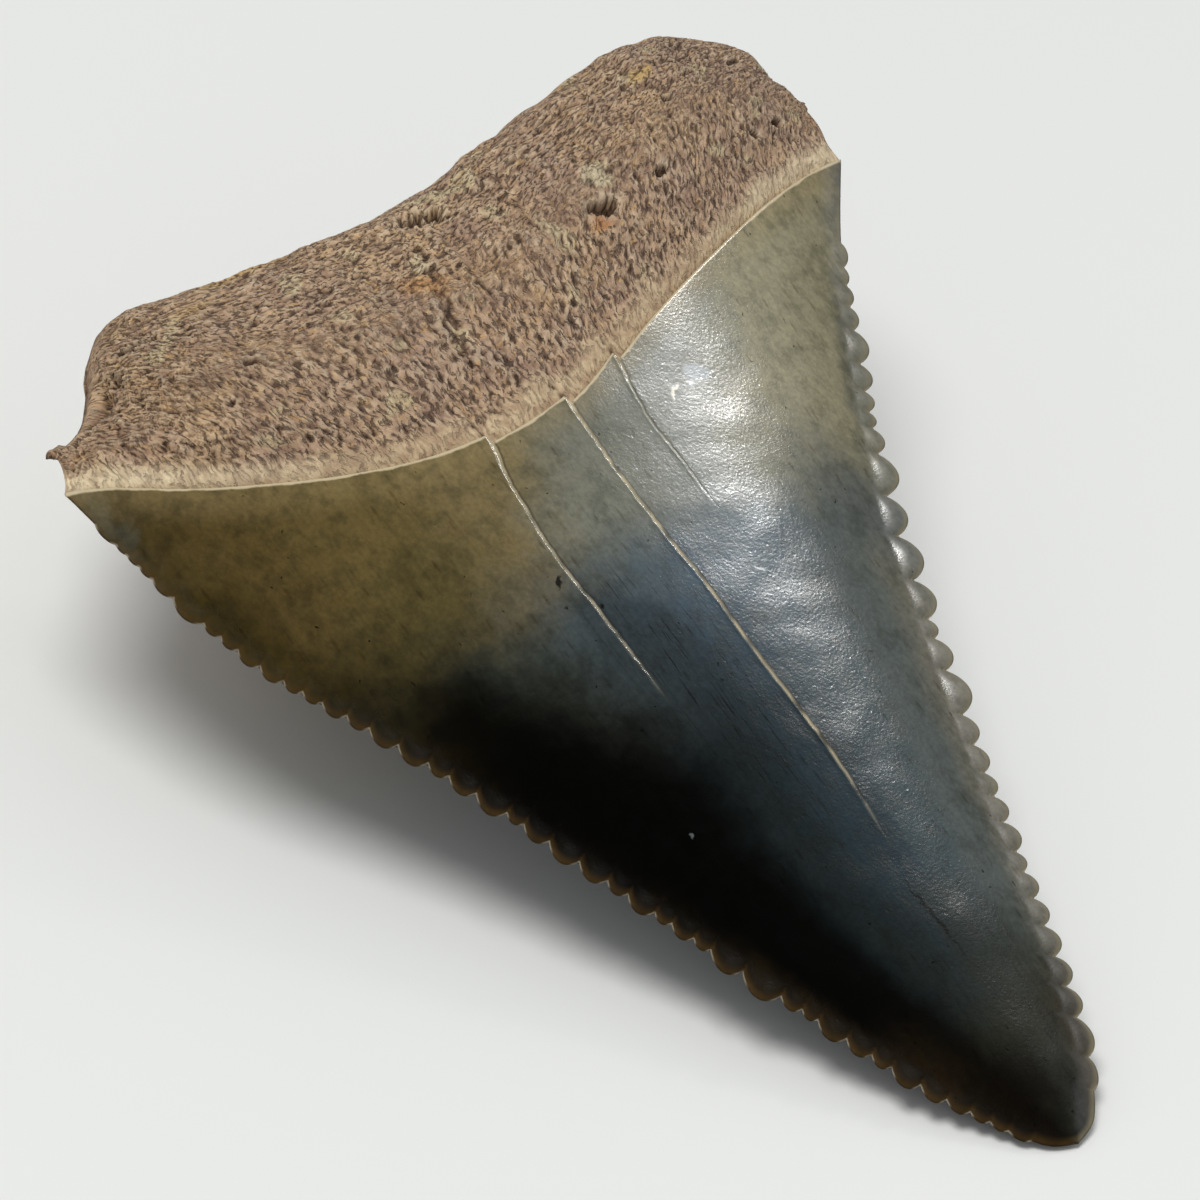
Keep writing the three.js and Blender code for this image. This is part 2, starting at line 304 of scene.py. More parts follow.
def crown_surface(along, across, face):
    """Smooth crown in the tooth's frame: along runs from the tip (0) to the end of the enamel (1),
    across from the left edge (-1) to the right (1)"""
    share = (across + 1) / 2
    left, right = left_edge.at(along), right_edge.at(along)
    dips = FACE_DIP if face else BACK_DIP
    dip = spline([(step, dip) for step, dip in enumerate(dips)], share)[..., 1]
    side = np.sqrt(np.clip(1 - across**2, 0, 1))
    section = BLADE_SHARE * side + (1 - BLADE_SHARE) * side**2
    if face:
        rise = FACE_RISE * along**FACE_POWER * (1 + RISE_SKEW * across)
    else:
        rise = -BACK_RISE * along**BACK_POWER
    x = lerp(left[..., 0], right[..., 0], share)
    y = lerp(left[..., 1], right[..., 1], share) - dip * along**DIP_POWER
    return np.stack([x, y, rise * section], axis=-1)


def root_surface(out, across, face):
    """Smooth root in the tooth's frame: out runs from the end of the enamel (0) to the far margin"""
    side = np.sqrt(np.clip(1 - across**2, 0, 1))
    blunt = np.sqrt(side)
    start = crown_surface(np.ones_like(out), across, face)
    margin = spline(ROOT_MARGIN, (across + 1) / 2)
    margin_depth = lerp(END_DEPTH, MARGIN_DEPTH, side**2)
    fall = (1 - np.clip(out, 0, 1) ** MARGIN_ROUNDING[0]) ** MARGIN_ROUNDING[1]
    if face:
        start_depth = start[..., 2] - ENAMEL_STEP * blunt
        swell = MIDDLE_SWELL + LOBE_SWELL * bump(np.abs(across) - LOBE_PLACE, LOBE_WIDTH)
        swell = swell * blunt * np.sin(np.pi * out**FACE_LEAN)
    else:
        start_depth = start[..., 2] + ENAMEL_STEP * blunt
        swell = -lerp(LOBE_BACK, BULGE, bump(across, BULGE_WIDTH))
        swell = swell * side**BACK_FADE * np.sin(np.pi * out**BULGE_LEAN)
    x = lerp(start[..., 0], margin[..., 0], out)
    y = lerp(start[..., 1], margin[..., 1], out)
    return np.stack([x, y, lerp(margin_depth, start_depth, fall) + swell], axis=-1)


def upward(places, face):
    """Unit normals of a grid of places, pointing out of the tooth"""
    normal = np.cross(np.gradient(places, axis=1), np.gradient(places, axis=0))
    normal /= np.maximum(np.linalg.norm(normal, axis=-1), 1e-9)[..., None]
    return normal if face else -normal


def crowded(count, spots):
    """Steps from -1 to 1, closer together at the given spots (place, width, how much)"""
    at = np.linspace(-1, 1, SPREAD_STEPS)
    dense = np.ones_like(at)
    for place, width, much in spots:
        dense += much * bump(at - place, width)
    share = np.cumsum(dense) - dense[0]
    return np.interp(np.linspace(0, share[-1], count + 1), share, at)


def crack_across(crack, along):
    """Where across the face a crack lies, with a slight wander"""
    path = sorted(crack["path"])
    wobble = np.stack([along * 40, np.full_like(along, path[0][1] * 50)], axis=-1)
    wander = 0.0014 * ripple(wobble, 2.6, 11) + 0.0008 * ripple(wobble, 0.6, 12)
    return np.interp(along, [at for at, _ in path], [to for _, to in path]) + wander


def follow_cracks(across, along):
    """Shifts the columns so that one runs down the middle of each crack"""
    starts = [crack["path"][0][1] for crack in CRACKS]
    knots = [-1, *starts, 1]
    shifts = [np.zeros_like(along)]
    shifts += [crack_across(crack, along) - start for crack, start in zip(CRACKS, starts)]
    shifts += [np.zeros_like(along)]
    followed = across.copy()
    for start, end, before, after in zip(knots[:-1], knots[1:], shifts[:-1], shifts[1:]):
        here = (across > start) & (across <= end)
        shift = lerp(before, after, (across - start) / (end - start))
        followed = np.where(here, across + shift, followed)
    return followed


def panel_step(across):
    """Between two cracks the enamel ends in a sloping step, and it levels out beside them"""
    starts = [crack["path"][0][1] for crack in CRACKS]
    step = np.zeros_like(across)
    for start, end in zip(starts[:-1], starts[1:]):
        t = (across - start) / (end - start)
        step = np.where((t > 0) & (t <= 1), 0.5 - t, step)
    step = np.where(across <= starts[0], -0.5 * bump(across - starts[0], 0.1), step)
    return PANEL_STEP * np.where(across > starts[-1], 0.5 * bump(across - starts[-1], 0.12), step)


def add_beads(places, along, across):
    """Moves the places near both edges out into beads. Also gives the distance in from the beaded
    outline and how near each place is to a notch"""
    moved = places.copy()
    from_edge = np.full(across.shape, 9.0)
    notch = np.zeros(across.shape)
    for edge, near in ((left_edge, across < 0), (right_edge, across >= 0)):
        foot, way = edge.at(along), edge.way(along)
        normal = np.stack([way[..., 1], -way[..., 0]], axis=-1) * edge.outwards
        offset = places[..., :2] - foot
        reach = along * edge.length + np.sum(offset * way, axis=-1)
        inside = np.maximum(-np.sum(offset * normal, axis=-1), 0)
        stands, between = edge.bead(reach)
        hold = smooth(1 - inside / BEAD_DEPTH)
        puff = (inside / 0.2) * np.exp(1 - inside / 0.2) * smooth(1.4 - inside / 0.5)
        lift = BEAD_PUFF * (stands / 0.4 - 1.5 * between) * puff * (between > 0)
        shift = normal - way * edge.lean
        moved[..., :2] += np.where(near[..., None], shift * (stands * hold)[..., None], 0)
        moved[..., 2] += np.where(near, np.sign(places[..., 2]) * lift, 0)
        from_edge = np.where(near, inside + stands * (1 - hold), from_edge)
        notch = np.where(near, between, notch)
    return moved, from_edge, notch


def crown_sheet(face):
    """The enamel of one side as rows and columns of places, with what the finish needs to know"""
    along = np.linspace(0, 1, CROWN_ROWS + 1 - len(ENAMEL_RIM))
    edges = [(-1, 0.07, 6), (1, 0.07, 6)]
    if face:
        cracks = [(crack["path"][0][1], 0.011, 15) for crack in CRACKS]
        columns = crowded(FACE_COLUMNS, edges + cracks)
        for crack in CRACKS:
            columns[np.argmin(np.abs(columns - crack["path"][0][1]))] = crack["path"][0][1]
    else:
        columns = crowded(BACK_COLUMNS, edges)
    along, across = np.meshgrid(along, columns, indexing="ij")
    step = panel_step(across) if face else 0 * across
    if face:
        across = follow_cracks(across, along)
    places = crown_surface(along, across, face)
    normals = upward(places, face)
    half_width = (right_edge.at(along)[..., 0] - left_edge.at(along)[..., 0]) / 2
    height = 0.02 * ripple(places, 5, 31) + 0.004 * ripple(places, 1.7, 32)
    core, lip_highlight, shade = np.zeros_like(along), np.zeros_like(along), np.zeros_like(along)
    for crack in CRACKS if face else []:
        gap = (across - crack_across(crack, along)) * half_width
        opening = smooth((along - min(at for at, _ in crack["path"])) / 0.16)
        uneven = np.clip(0.75 + 0.4 * ripple(along[..., None] * 40, 1.6, 33), 0.25, 1)
        height -= crack["deep"] * opening * np.clip(1 - np.abs(gap) / crack["half"], 0, 1)
        height += 0.016 * opening * bump(gap + 0.1, 0.06)
        core = np.maximum(core, crack["pale"] * opening * uneven * bump(gap, crack["half"]))
        # The pale edge left of each crack is a painted highlight, the dark band right of it painted
        # shade
        lip_highlight = np.maximum(lip_highlight, crack["pale"] * opening * uneven * bump(gap + 0.07, 0.04))
        shade = np.maximum(shade, opening * bump(gap - 0.08, 0.04))
    thin = smooth(np.abs(places[..., 2]) / 0.5)
    places = places + normals * (height * thin)[..., None]
    places[..., 1] -= step * smooth((along - 0.93) / 0.07)
    places, from_edge, notch = add_beads(places, along, across)
    from_rim = (1 - along) * lerp(left_edge.length, right_edge.length, (across + 1) / 2)
    marks = {"from_edge": from_edge, "notch": notch, "from_rim": from_rim, "crack_core": core,
             "crack_lip_highlight": lip_highlight, "crack_shade": shade, "across": across}
    last, inwards = places[-1], normals[-1] * thin[-1][..., None]
    onwards = last - places[-6]
    onwards /= np.linalg.norm(onwards, axis=-1)[..., None]
    rim = [last + onwards * out - inwards * down for out, down in ENAMEL_RIM]
    places = np.concatenate([places, np.stack(rim)])
    for name, values in marks.items():
        ends = [values[-1] * 0 - down if name == "from_rim" else values[-1] for _, down in ENAMEL_RIM]
        marks[name] = np.concatenate([values, np.stack(ends)])
    return places, marks


def root_sheet(face):
    """The bone of one side as rows and columns of places, with its unevenness as a mark"""
    steps = np.linspace(0, 1, ROOT_STEPS)
    middle = root_surface(steps, np.full_like(steps, 0.35), True)
    run = np.concatenate([[0], np.cumsum(np.linalg.norm(np.diff(middle, axis=0), axis=-1))])
    rows = ROOT_ROWS + 1 - len(ROOT_TUCK)
    out = np.interp(np.linspace(0, run[-1], rows), run, steps)
    out[0], out[-1] = 0, 1
    columns = np.linspace(0, 1, (ROOT_FACE_COLUMNS if face else ROOT_BACK_COLUMNS) + 1)
    columns = 0.5 * (2 * columns - 1) - 0.5 * np.cos(np.pi * columns)
    out, across = np.meshgrid(out, columns, indexing="ij")
    places = root_surface(out, across, face)
    step = panel_step(across) if face else 0 * across
    places[..., 1] -= step * smooth(1 - out / 0.15)
    u = across * ROOT_HALF_WIDTH
    grown = np.linalg.norm(np.diff(places, axis=0), axis=-1)
    v = np.concatenate([np.zeros((1, len(columns))), np.cumsum(grown, axis=0)])
    height, deep, raised, flake, porous = root_relief(places, out, across, u, v, face)
    tuck = []
    for back, down in ROOT_TUCK:
        share = np.full_like(columns, 1 - back / left_edge.length)
        under = crown_surface(share, columns, face)
        blunt = (1 - columns**2) ** 0.25
        drop = np.minimum((ENAMEL_STEP + down) * blunt, 0.6 * np.abs(under[..., 2]))
        under[..., 2] -= np.sign(under[..., 2]) * drop
        under[..., 1] -= step[0]
        tuck.append(under)
    places = np.concatenate([np.stack(tuck), places])
    marks = {"relief": height, "deep": deep, "raised": raised, "flake": flake, "porous": porous,
             "bone_u": u, "bone_v": v, "out": out, "across": across}
    for name, values in marks.items():
        marks[name] = np.concatenate([np.repeat(values[:1], len(ROOT_TUCK), axis=0), values])
    return places, marks


def root_relief(places, out, across, u, v, face):
    """Height of the bone's surface over its smooth form, how deep each place lies in it and where
    flakes of a paler crust stay"""
    pale = 0.8 + 0.9 * bump(across - 0.05, 0.3) + 0.25 * ripple(u[..., None] / 3, 1, 41)
    porous = smooth((v - pale * 0.3) / 1.9)
    coarse = smooth((out + 0.1 * ripple(places, 3, 48) - 0.45) / 0.3)
    left = smooth((-across - 0.45) / 0.35) * porous
    level = np.maximum(coarse, left)
    bent_u = u + 0.08 * ripple(places, 1.1, 42) + 0.03 * ripple(places, 0.4, 43)
    bent_v = v + 0.08 * ripple(places, 1.2, 44) + 0.03 * ripple(places, 0.4, 45)
    height = (0.08 * ripple(places, 3.4, 21) + 0.04 * ripple(places, 1.4, 22)) * (0.2 + 0.8 * porous)
    height += (0.16 * ripple(places, 1.9, 26) + 0.07 * ripple(places, 0.8, 27)) * left
    height -= 0.12 * porous
    height += 0.035 * grain(bent_u / 0.2, bent_v / 0.8, 23) * (0.3 + 0.7 * porous) * (1 - 0.6 * level)
    height += 0.05 * grain(bent_u / 0.42, bent_v / 0.22, 30) * porous * (0.2 + 0.8 * level)
    ledges = np.abs(grain(bent_u / 1.4, bent_v / 0.45, 36, 2))
    height -= 0.06 * smooth(1 - ledges / 0.16) * level * porous
    slits = pores(bent_u / 0.27, bent_v / 0.66, 51, 0.6, 0.25, 0.35) * (1 - 0.8 * level)
    sponge = pores(bent_u / 0.34, bent_v / 0.28, 52, 0.45, 0.25, 0.35) * np.maximum(left, 0.3)
    wide = pores(bent_u / 0.5, bent_v / 0.3, 53, 0.35, 0.25, 0.35) * coarse
    holes = pores(bent_u / 1.3, bent_v / 1.1, 54, 0.07, 0.65, 0.3)
    open_pores = np.maximum(np.maximum(slits, sponge), np.maximum(wide, holes)) * smooth(porous * 1.6)
    height -= PORE_DEPTH * open_pores + HOLE_DEPTH * holes * porous
    fissure = np.zeros(u.shape)
    for crack in CRACKS if face else []:
        gap = (across - crack["path"][0][1]) * ROOT_HALF_WIDTH
        gap = gap + 0.07 * ripple(v[..., None], 0.8, 46)
        fissure = np.maximum(fissure, bump(gap, 0.06) * smooth(1 - v / 1.5))
    height -= FISSURE_DEPTH * fissure
    for hollow in HOLLOWS if face else []:
        height -= hollow_depth(hollow, places)
    height -= ROOT_SINK
    outer = smooth((np.abs(across) - 0.88) / 0.08)
    height = np.where(height > 0, height * lerp(1, 0.2, outer), height) - 0.05
    outwards = smooth(out / 0.3)
    seam = lerp(*SEAM_DEPTH, outwards) - 0.04 * ripple(places, 1.4, 22) * outwards
    away_from_seam = smooth((1 - np.abs(across)) / 0.03) * smooth((1 - out) / 0.035)
    height = lerp(-seam, height, away_from_seam)
    # deep also says where the bone gets painted shade: in its recesses and fissures
    deep = np.maximum(np.clip((blurred(height) - height) / 0.05, 0, 1), fissure)
    raised = np.clip((height - blurred(height)) / 0.04, 0, 1)
    flake = smooth((ripple(places, 1.6, 47) - 1.0) / 0.4) * porous * (1 - deep)
    return height, deep, raised, flake, porous


def hollow_depth(hollow, places):
    """Depth of one broad hollow with an uneven rim"""
    across, out = (np.array([value], float) for value in hollow["place"])
    centre = root_surface(out, across, True)[0]
    dx, dy = places[..., 0] - centre[0], places[..., 1] - centre[1]
    cos, sin = math.cos(hollow["turn"]), math.sin(hollow["turn"])
    along_x = (dx * cos + dy * sin) / hollow["half"][0]
    along_y = (dy * cos - dx * sin) / hollow["half"][1]
    away = along_x**2 + along_y**2 + 0.25 * ripple(places, 0.7, 61) + 0.25 * ripple(places, 0.28, 62)
    return hollow["deep"] * smooth(1 - away)


def tilted(place):
    """From the tooth's frame in mm to the frame of the row in metres, above the floor and within
    the outer sides"""
    point = TOOTH_ORIGIN + TILT @ (Vector(place) * MM)
    point.x = min(max(point.x, -SIDE_LIMIT), SIDE_LIMIT)
    point.z = max(point.z, FLOOR_CLEAR)
    return point


def shape_grid(bm, places, marks):
    """A flat grid whose vertices are moved to the places, row by row, and given the marks"""
    rows, columns = places.shape[0] - 1, places.shape[1] - 1
    made = bmesh.ops.create_grid(bm, x_segments=columns, y_segments=rows, size=1)
    layers = [(bm.verts.layers.float[name], values) for name, values in marks.items()]
    for vert in made["verts"]:
        column = round((vert.co.x + 1) / 2 * columns)
        row = round((vert.co.y + 1) / 2 * rows)
        vert.co = Vector(places[row, column])
        for layer, values in layers:
            vert[layer] = values[row, column]


def close_end(bm, centre):
    """Closes the one open ring with a cone to a point inside the tooth"""
    ring = [edge for edge in bm.edges if edge.is_boundary]
    made = bmesh.ops.extrude_edge_only(bm, edges=ring)
    inner = [part for part in made["geom"] if isinstance(part, bmesh.types.BMVert)]
    bmesh.ops.pointmerge(bm, verts=inner, merge_co=Vector(centre))


def tooth_piece(name, sheets, centre, material):
    """Joins both sides of a piece into one closed mesh and sets it down as it lies"""
    bm = bmesh.new()
    for label in sheets[0][1]:
        bm.verts.layers.float.new(label)
    for places, marks in sheets:
        shape_grid(bm, places, marks)
    bmesh.ops.remove_doubles(bm, verts=bm.verts, dist=MERGE / MM)
    close_end(bm, centre)
    bmesh.ops.dissolve_degenerate(bm, dist=MERGE / MM, edges=bm.edges)
    bmesh.ops.triangulate(bm, faces=[face for face in bm.faces if len(face.verts) > 4])
    bmesh.ops.recalc_face_normals(bm, faces=bm.faces)
    relief = bm.verts.layers.float.get("relief")
    if relief:
        bm.normal_update()
        raised = [vert.co + vert.normal * vert[relief] for vert in bm.verts]
        for vert, place in zip(bm.verts, raised):
            vert.co = place
    for vert in bm.verts:
        vert.co = tilted(vert.co)
    for face in bm.faces:
        face.smooth = True
    mesh = bpy.data.meshes.new(name)
    bm.to_mesh(mesh)
    bm.free()
    piece = bpy.data.objects.new(name, mesh)
    bpy.context.scene.collection.objects.link(piece)
    piece.data.materials.append(material)
    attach(piece, "root")
    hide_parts("tooth")


# Materials. Colours are given as they look on a screen, from 0 to 255

def paint(red, green, blue):
    """A screen colour as the linear colour that a shader takes"""
    shares = [value / 255 for value in (red, green, blue)]
    return (*[s / 12.92 if s < 0.04 else ((s + 0.055) / 1.055) ** 2.4 for s in shares], 1)


def feed(tree, socket, value):
    """Links the socket that gives the value, or sets the value itself"""
    if isinstance(value, bpy.types.NodeSocket):
        tree.links.new(value, socket)
    else:
        socket.default_value = value


def add(tree, kind, inputs=(), **settings):
    """A node with its settings and inputs; an input is a value or the socket that feeds it"""
    node = tree.nodes.new(kind)
    for name, value in settings.items():
        setattr(node, name, value)
    for name, value in dict(inputs).items():
        feed(tree, node.inputs[name], value)
    return node


def calc(tree, operation, *values):
    return add(tree, "ShaderNodeMath", dict(enumerate(values)), operation=operation).outputs[0]


def product(tree, first, second):
    return calc(tree, "MULTIPLY", first, second)


def vector_calc(tree, operation, *values):
    return add(tree, "ShaderNodeVectorMath", dict(enumerate(values)), operation=operation).outputs[0]


def blend_colour(tree, share, under, over, blend="MIX"):
    node = add(tree, "ShaderNodeMix", data_type="RGBA", blend_type=blend)
    for index, value in ((0, share), (6, under), (7, over)):
        feed(tree, node.inputs[index], value)
    return node.outputs[2]


def tinted(tree, share, colour, tint):
    """The colour multiplied by a tint, as far as the share says"""
    return blend_colour(tree, share, colour, (*tint, 1), "MULTIPLY")


def ramp(tree, value, low, high, start=0.0, end=1.0, kind="SMOOTHSTEP"):
    """Turns a value between low and high into one between start and end"""
    inputs = {"Value": value, "From Min": low, "From Max": high, "To Min": start, "To Max": end}
    return add(tree, "ShaderNodeMapRange", inputs, interpolation_type=kind).outputs[0]


def mark(tree, name):
    return add(tree, "ShaderNodeAttribute", attribute_name=name).outputs["Fac"]


def effect(name, inputs, outputs):
    """A shader node group with named inputs and outputs, ready to be filled"""
    group = bpy.data.node_groups.new(name, "ShaderNodeTree")
    for label, kind, value in inputs:
        socket = group.interface.new_socket(label, in_out="INPUT", socket_type="NodeSocket" + kind)
        socket.default_value = value
    for label, kind in outputs:
        group.interface.new_socket(label, in_out="OUTPUT", socket_type="NodeSocket" + kind)
    return group, group.nodes.new("NodeGroupInput").outputs, group.nodes.new("NodeGroupOutput")


def place_effect():
    """The place on the tooth in its own frame, in mm"""
    group, _, end = effect("tooth place", [], [("Place", "Vector")])
    here = add(group, "ShaderNodeTexCoord").outputs["Object"]
    untilt = {"Vector": here, "Location": TOOTH_ORIGIN, "Rotation": TILT.to_euler(),
              "Scale": (MM, MM, MM)}
    turned = add(group, "ShaderNodeMapping", untilt, vector_type="TEXTURE")
    group.links.new(turned.outputs[0], end.inputs["Place"])
    return group


def wander_effect():
    """Shifts a place unevenly, so that a patch gets a natural outline"""
    group, given, end = effect(
        "wander",
        [("Place", "Vector", (0, 0, 0)), ("Scale", "Float", 0.3), ("Amount", "Float", 1)],
        [("Place", "Vector")],
    )
    inputs = {"Vector": given["Place"], "Scale": given["Scale"], "Detail": 4}
    cloud = add(group, "ShaderNodeTexNoise", inputs).outputs["Color"]
    centred = vector_calc(group, "SUBTRACT", cloud, (0.5, 0.5, 0.5))
    shift = add(group, "ShaderNodeVectorMath", {0: centred, "Scale": given["Amount"]},
                operation="SCALE")
    total = vector_calc(group, "ADD", given["Place"], shift.outputs[0])
    group.links.new(total, end.inputs["Place"])
    return group


def patch_effect():
    """1 inside an oval patch, fading to 0 outside it"""
    group, given, end = effect(
        "soft patch",
        [("Place", "Vector", (0, 0, 0)), ("Centre", "Vector", (0, 0, 0)),
         ("Half Size", "Vector", (1, 1, 1000)), ("Turn", "Float", 0), ("Softness", "Float", 0.5)],
        [("Mask", "Float")],
    )
    turned = add(group, "ShaderNodeVectorRotate", rotation_type="Z_AXIS",
                 inputs={"Vector": given["Place"], "Center": given["Centre"], "Angle": given["Turn"]})
    offset = vector_calc(group, "SUBTRACT", turned.outputs[0], given["Centre"])
    scaled = vector_calc(group, "DIVIDE", offset, given["Half Size"])
    away = add(group, "ShaderNodeVectorMath", {0: scaled}, operation="LENGTH").outputs["Value"]
    far = calc(group, "ADD", 1, given["Softness"])
    near = calc(group, "SUBTRACT", 1, given["Softness"])
    group.links.new(ramp(group, away, near, far, 1, 0), end.inputs["Mask"])
    return group


def mottle_effect():
    """Cloudy unevenness from 0 to 1, stretched by its own scale along each way"""
    group, given, end = effect(
        "mottle",
        [("Place", "Vector", (0, 0, 0)), ("Stretch", "Vector", (1, 1, 1)),
         ("Detail", "Float", 5), ("Low", "Float", 0.35), ("High", "Float", 0.65)],
        [("Value", "Float")],
    )
    scaled = vector_calc(group, "MULTIPLY", given["Place"], given["Stretch"])
    inputs = {"Vector": scaled, "Scale": 1, "Detail": given["Detail"], "Roughness": 0.6}
    cloud = add(group, "ShaderNodeTexNoise", inputs).outputs["Fac"]
    spread = ramp(group, cloud, given["Low"], given["High"], kind="LINEAR")
    group.links.new(spread, end.inputs["Value"])
    return group


def specks_effect():
    """1 in small scattered specks, 0 elsewhere"""
    group, given, end = effect(
        "specks",
        [("Place", "Vector", (0, 0, 0)), ("Stretch", "Vector", (1, 1, 1)), ("Size", "Float", 0.2),
         ("Kept", "Float", 0.5)],
        [("Mask", "Float")],
    )
    scaled = vector_calc(group, "MULTIPLY", given["Place"], given["Stretch"])
    scattered = add(group, "ShaderNodeTexVoronoi", {"Vector": scaled, "Scale": 1}).outputs
    half = product(group, given["Size"], 0.5)
    near = ramp(group, scattered["Distance"], half, given["Size"], 1, 0)
    drawn = add(group, "ShaderNodeSeparateColor", {"Color": scattered["Color"]})
    chosen = calc(group, "LESS_THAN", drawn.outputs[0], given["Kept"])
    group.links.new(product(group, near, chosen), end.inputs["Mask"])
    return group


place_group = place_effect()
wander_group = wander_effect()
patch_group = patch_effect()
mottle_group = mottle_effect()
specks_group = specks_effect()


def use(tree, group, **inputs):
    """An effect placed in a material, with inputs by name; gives its one output"""
    named = {label.replace("_", " "): value for label, value in inputs.items()}
    return add(tree, "ShaderNodeGroup", named, node_tree=group).outputs[0]


def wandered(tree, place, scale, amount):
    return use(tree, wander_group, Place=place, Scale=scale, Amount=amount)


def mottle(tree, place, stretch, detail, low=0.3, high=0.7):
    return use(tree, mottle_group, Place=place, Stretch=stretch, Detail=detail, Low=low, High=high)


def specks(tree, place, stretch, size, kept):
    return use(tree, specks_group, Place=place, Stretch=stretch, Size=size, Kept=kept)


# Colours of the enamel from the left edge (-1) to the right (1) at rising heights above the tip.
# "from" and "to" are the heights in mm between which one row of colours gives way to the next
ENAMEL_ROWS = [
    {"stops": [(-1, (30, 22, 10)), (-0.4, (12, 9, 4)), (0, (34, 35, 28)), (0.5, (58, 60, 56)),
               (1, (84, 76, 66))]},
    {"from": 4, "to": 8,
     "stops": [(-1, (28, 20, 7)), (-0.8, (3, 3, 2)), (-0.5, (4, 4, 3)), (-0.22, (26, 33, 34)),
               (0.1, (36, 49, 56)), (0.4, (58, 70, 74)), (0.7, (82, 88, 86)), (1, (110, 106, 94))]},
    {"from": 17.5, "to": 26,
     "stops": [(-1, (24, 17, 4)), (-0.75, (20, 18, 7)), (-0.5, (50, 53, 46)), (-0.25, (64, 72, 74)),
               (0.05, (68, 82, 92)), (0.35, (84, 98, 108)), (0.65, (82, 88, 86)), (1, (108, 106, 92))]},
    {"from": 24, "to": 29,
     "stops": [(-1, (52, 42, 14)), (-0.8, (78, 64, 32)), (-0.55, (94, 80, 46)), (-0.3, (112, 98, 66)),
               (-0.05, (112, 112, 100)), (0.3, (124, 126, 120)), (0.6, (148, 142, 118)),
               (0.9, (134, 128, 104)), (1, (104, 102, 88))]},
]

# Patches on top of them: screen colour, centre, half size, turn in degrees, softness, strength
ENAMEL_PATCHES = [
    ((50, 64, 78), (8.2, 25), (1.6, 3.8), -25, 0.9, 0.45),
    ((2, 2, 1), (-9, 18.5), (2.8, 6), -22, 0.6, 0.95),
    ((38, 34, 20), (-12.6, 25.4), (2.2, 1.6), -20, 0.8, 0.6),
    ((64, 58, 30), (-10, 28), (3, 1.8), -20, 0.8, 0.5),
    ((84, 84, 72), (-17.2, 35.8), (0.5, 2.4), -8, 0.6, 0.4),
    ((40, 39, 26), (0.2, 6.2), (2.2, 3.6), -20, 0.8, 0.7),
    ((14, 9, 4), (-2.6, 2), (2, 1.3), -30, 0.8, 0.8),
    ((30, 38, 44), (-3.4, 22.8), (1.2, 3), -5, 0.8, 0.45),
    ((66, 78, 88), (17.7, 37.7), (0.5, 0.5), 0, 0.3, 0.9),
]

# Small worn and chipped places: the same, with a hard outline
ENAMEL_CHIPS = [
    ((160, 166, 170), (4.9, 31.5), (0.55, 0.36), 20, 0.3, 0.8),
    ((206, 210, 214), (4.4, 31.2), (0.13, 0.12), 0, 0.3, 0.8),
    ((226, 220, 204), (3.5, 31.1), (0.36, 0.07), -40, 0.4, 0.9),
    ((228, 220, 198), (-2.4, 33.3), (0.16, 0.12), 0, 0.4, 0.9),
    ((216, 206, 180), (-0.8, 33.1), (0.22, 0.07), 20, 0.4, 0.8),
    ((222, 226, 228), (1.8, 23.7), (0.28, 0.05), 35, 0.4, 0.8),
    ((12, 9, 6), (-5.3, 26.4), (0.3, 0.07), -45, 0.4, 0.9),
    ((12, 9, 6), (-4.5, 24.9), (0.09, 0.09), 0, 0.4, 0.9),
    ((120, 126, 128), (-6.9, 16.1), (0.08, 0.08), 0, 0.5, 0.5),
    ((14, 11, 6), (-1.25, 9.6), (0.06, 1.5), -4, 0.5, 0.8),
    ((40, 46, 52), (12.2, 37.1), (0.36, 0.13), 20, 0.4, 0.9),
    ((96, 84, 60), (9.7, 36), (0.22, 0.12), 20, 0.4, 0.8),
    ((236, 226, 202), (-14.1, 36.5), (0.28, 0.12), 0, 0.4, 0.9),
]
# What the marks of a crack add to the colour: how much, and their screen colour. The shade is
# painted shade right of a crack, the pale edge left of it a painted highlight, the core its cream
# filling
CRACK_TINTS = [
    ("crack_shade", 0.6, (24, 20, 12)),
    ("crack_lip_highlight", 0.5, (170, 164, 142)),
    ("crack_core", 0.95, (214, 200, 168)),
]
AMBER, PALE_TAN = paint(76, 56, 22), paint(134, 124, 96)
RIM_TAN, RIM_CREAM = paint(140, 122, 84), paint(210, 194, 160)
# Painted glint: the pale thin line beside the notches of the beads
BEAD_FRINGE_GLINT = paint(176, 166, 146)
ENAMEL_IOR = 1.5

# Coloured places of the bone: screen colour, centre, half size, turn in degrees, softness, strength
BONE_PATCHES = [
    ((214, 198, 158), (1.4, 42.9), (0.9, 0.3), 15, 0.5, 0.8),
    ((206, 154, 96), (-1.9, 39.1), (0.9, 0.5), 20, 0.7, 0.75),
    ((222, 208, 172), (6.9, 40.3), (0.5, 0.55), 0, 0.5, 0.85),
    ((184, 118, 58), (5.6, 38.4), (0.45, 0.3), 0, 0.6, 0.7),
    ((214, 178, 116), (-6.6, 43.4), (1.8, 0.35), 0, 0.7, 0.7),
    ((228, 218, 186), (18.2, 42.9), (0.5, 0.7), 30, 0.4, 0.9),
    ((222, 186, 112), (11.7, 43.7), (0.65, 0.2), -20, 0.6, 0.7),
    ((204, 166, 108), (-10, 42.2), (0.8, 0.28), 0, 0.7, 0.6),
]
BONE_LIGHT, BONE_GREY, BONE_TAN = paint(210, 176, 136), paint(190, 160, 136), paint(150, 118, 96)
FLECK_TAN, FLAKE_CREAM, RIDGE_CREAM = paint(214, 172, 112), paint(216, 198, 156), paint(218, 200, 172)
BLEACHED, BLEACHED_DARK = paint(212, 190, 154), paint(188, 162, 130)
